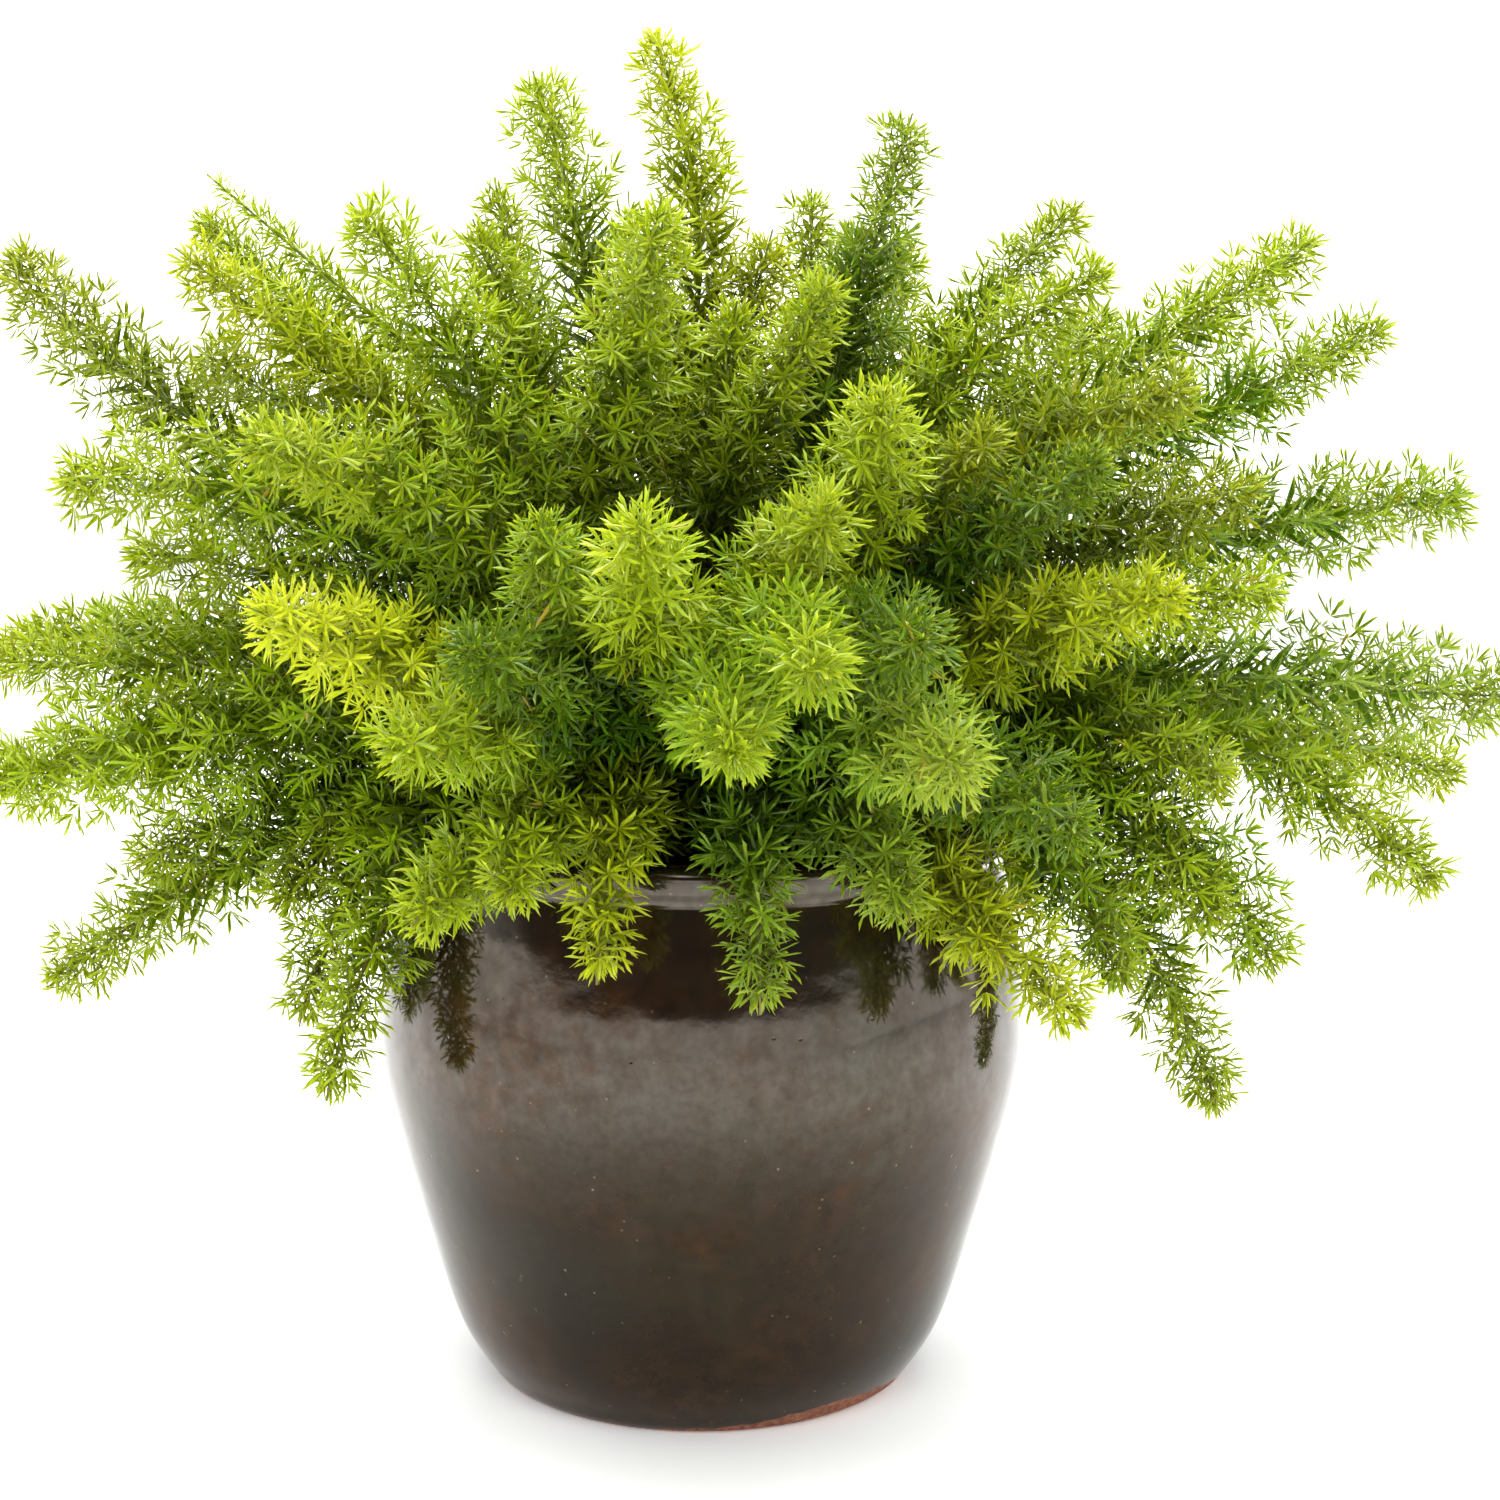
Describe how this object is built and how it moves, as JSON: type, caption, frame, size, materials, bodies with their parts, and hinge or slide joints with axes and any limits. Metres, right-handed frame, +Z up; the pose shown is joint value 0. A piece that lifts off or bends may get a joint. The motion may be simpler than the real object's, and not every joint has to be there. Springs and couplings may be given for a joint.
{
  "type": "potted foxtail fern",
  "caption": "Foxtail fern with tapering plumes of short needles arching out all round from the soil of a round, rimmed pot that narrows to its flat foot.",
  "frame": {"origin": "centre of the pot's foot, on the ground plane", "axes": "+Z up along the pot's axis, -Y towards the viewer of the picture, +X to the right in the picture"},
  "size_m": [0.8043, 0.685, 0.678],
  "materials": {
    "pot_glaze": "dark brown glossy glaze over stoneware",
    "potting_soil": "crumbly peat and bark, matt",
    "leaf_cool": "fresh needle-leaves with a slight wax gloss",
    "leaf_dark": "fresh needle-leaves with a slight wax gloss",
    "leaf_fresh": "fresh needle-leaves with a slight wax gloss",
    "leaf_golden": "fresh needle-leaves with a slight wax gloss",
    "leaf_lime": "fresh needle-leaves with a slight wax gloss",
    "leaf_mid": "fresh needle-leaves with a slight wax gloss",
    "leaf_olive": "fresh needle-leaves with a slight wax gloss",
    "leaf_yellow": "fresh needle-leaves with a slight wax gloss"
  },
  "bodies": {
    "root": {"plume_back_1": "leaf_fresh", "plume_back_2": "leaf_mid", "plume_back_3": "leaf_olive", "plume_back_4": "leaf_lime", "plume_back_5": "leaf_mid", "plume_back_6": "leaf_mid", "plume_back_7": "leaf_fresh", "plume_back_8": "leaf_cool", "plume_front_1": "leaf_lime", "plume_front_10": "leaf_lime", "plume_front_11": "leaf_golden", "plume_front_12": "leaf_dark", "plume_front_13": "leaf_fresh", "plume_front_14": "leaf_dark", "plume_front_15": "leaf_dark", "plume_front_2": "leaf_mid", "plume_front_3": "leaf_mid", "plume_front_4": "leaf_mid", "plume_front_5": "leaf_fresh", "plume_front_6": "leaf_cool", "plume_front_7": "leaf_cool", "plume_front_8": "leaf_yellow", "plume_front_9": "leaf_yellow", "plume_left_1": "leaf_olive", "plume_left_10": "leaf_fresh", "plume_left_11": "leaf_lime", "plume_left_2": "leaf_fresh", "plume_left_3": "leaf_yellow", "plume_left_4": "leaf_lime", "plume_left_5": "leaf_fresh", "plume_left_6": "leaf_fresh", "plume_left_7": "leaf_fresh", "plume_left_8": "leaf_lime", "plume_left_9": "leaf_lime", "plume_right_1": "leaf_fresh", "plume_right_10": "leaf_mid", "plume_right_11": "leaf_fresh", "plume_right_12": "leaf_yellow", "plume_right_13": "leaf_lime", "plume_right_14": "leaf_dark", "plume_right_15": "leaf_olive", "plume_right_2": "leaf_lime", "plume_right_3": "leaf_lime", "plume_right_4": "leaf_mid", "plume_right_5": "leaf_olive", "plume_right_6": "leaf_mid", "plume_right_7": "leaf_cool", "plume_right_8": "leaf_fresh", "plume_right_9": "leaf_fresh", "plume_top_1": "leaf_lime", "plume_top_2": "leaf_yellow", "plume_top_3": "leaf_cool", "plume_top_4": "leaf_lime", "plume_top_5": "leaf_fresh", "plume_top_6": "leaf_lime", "plume_top_7": "leaf_lime", "plume_top_8": "leaf_fresh", "pot": "pot_glaze", "soil": "potting_soil", "young_shoot": "leaf_lime"}
  },
  "joints": []
}
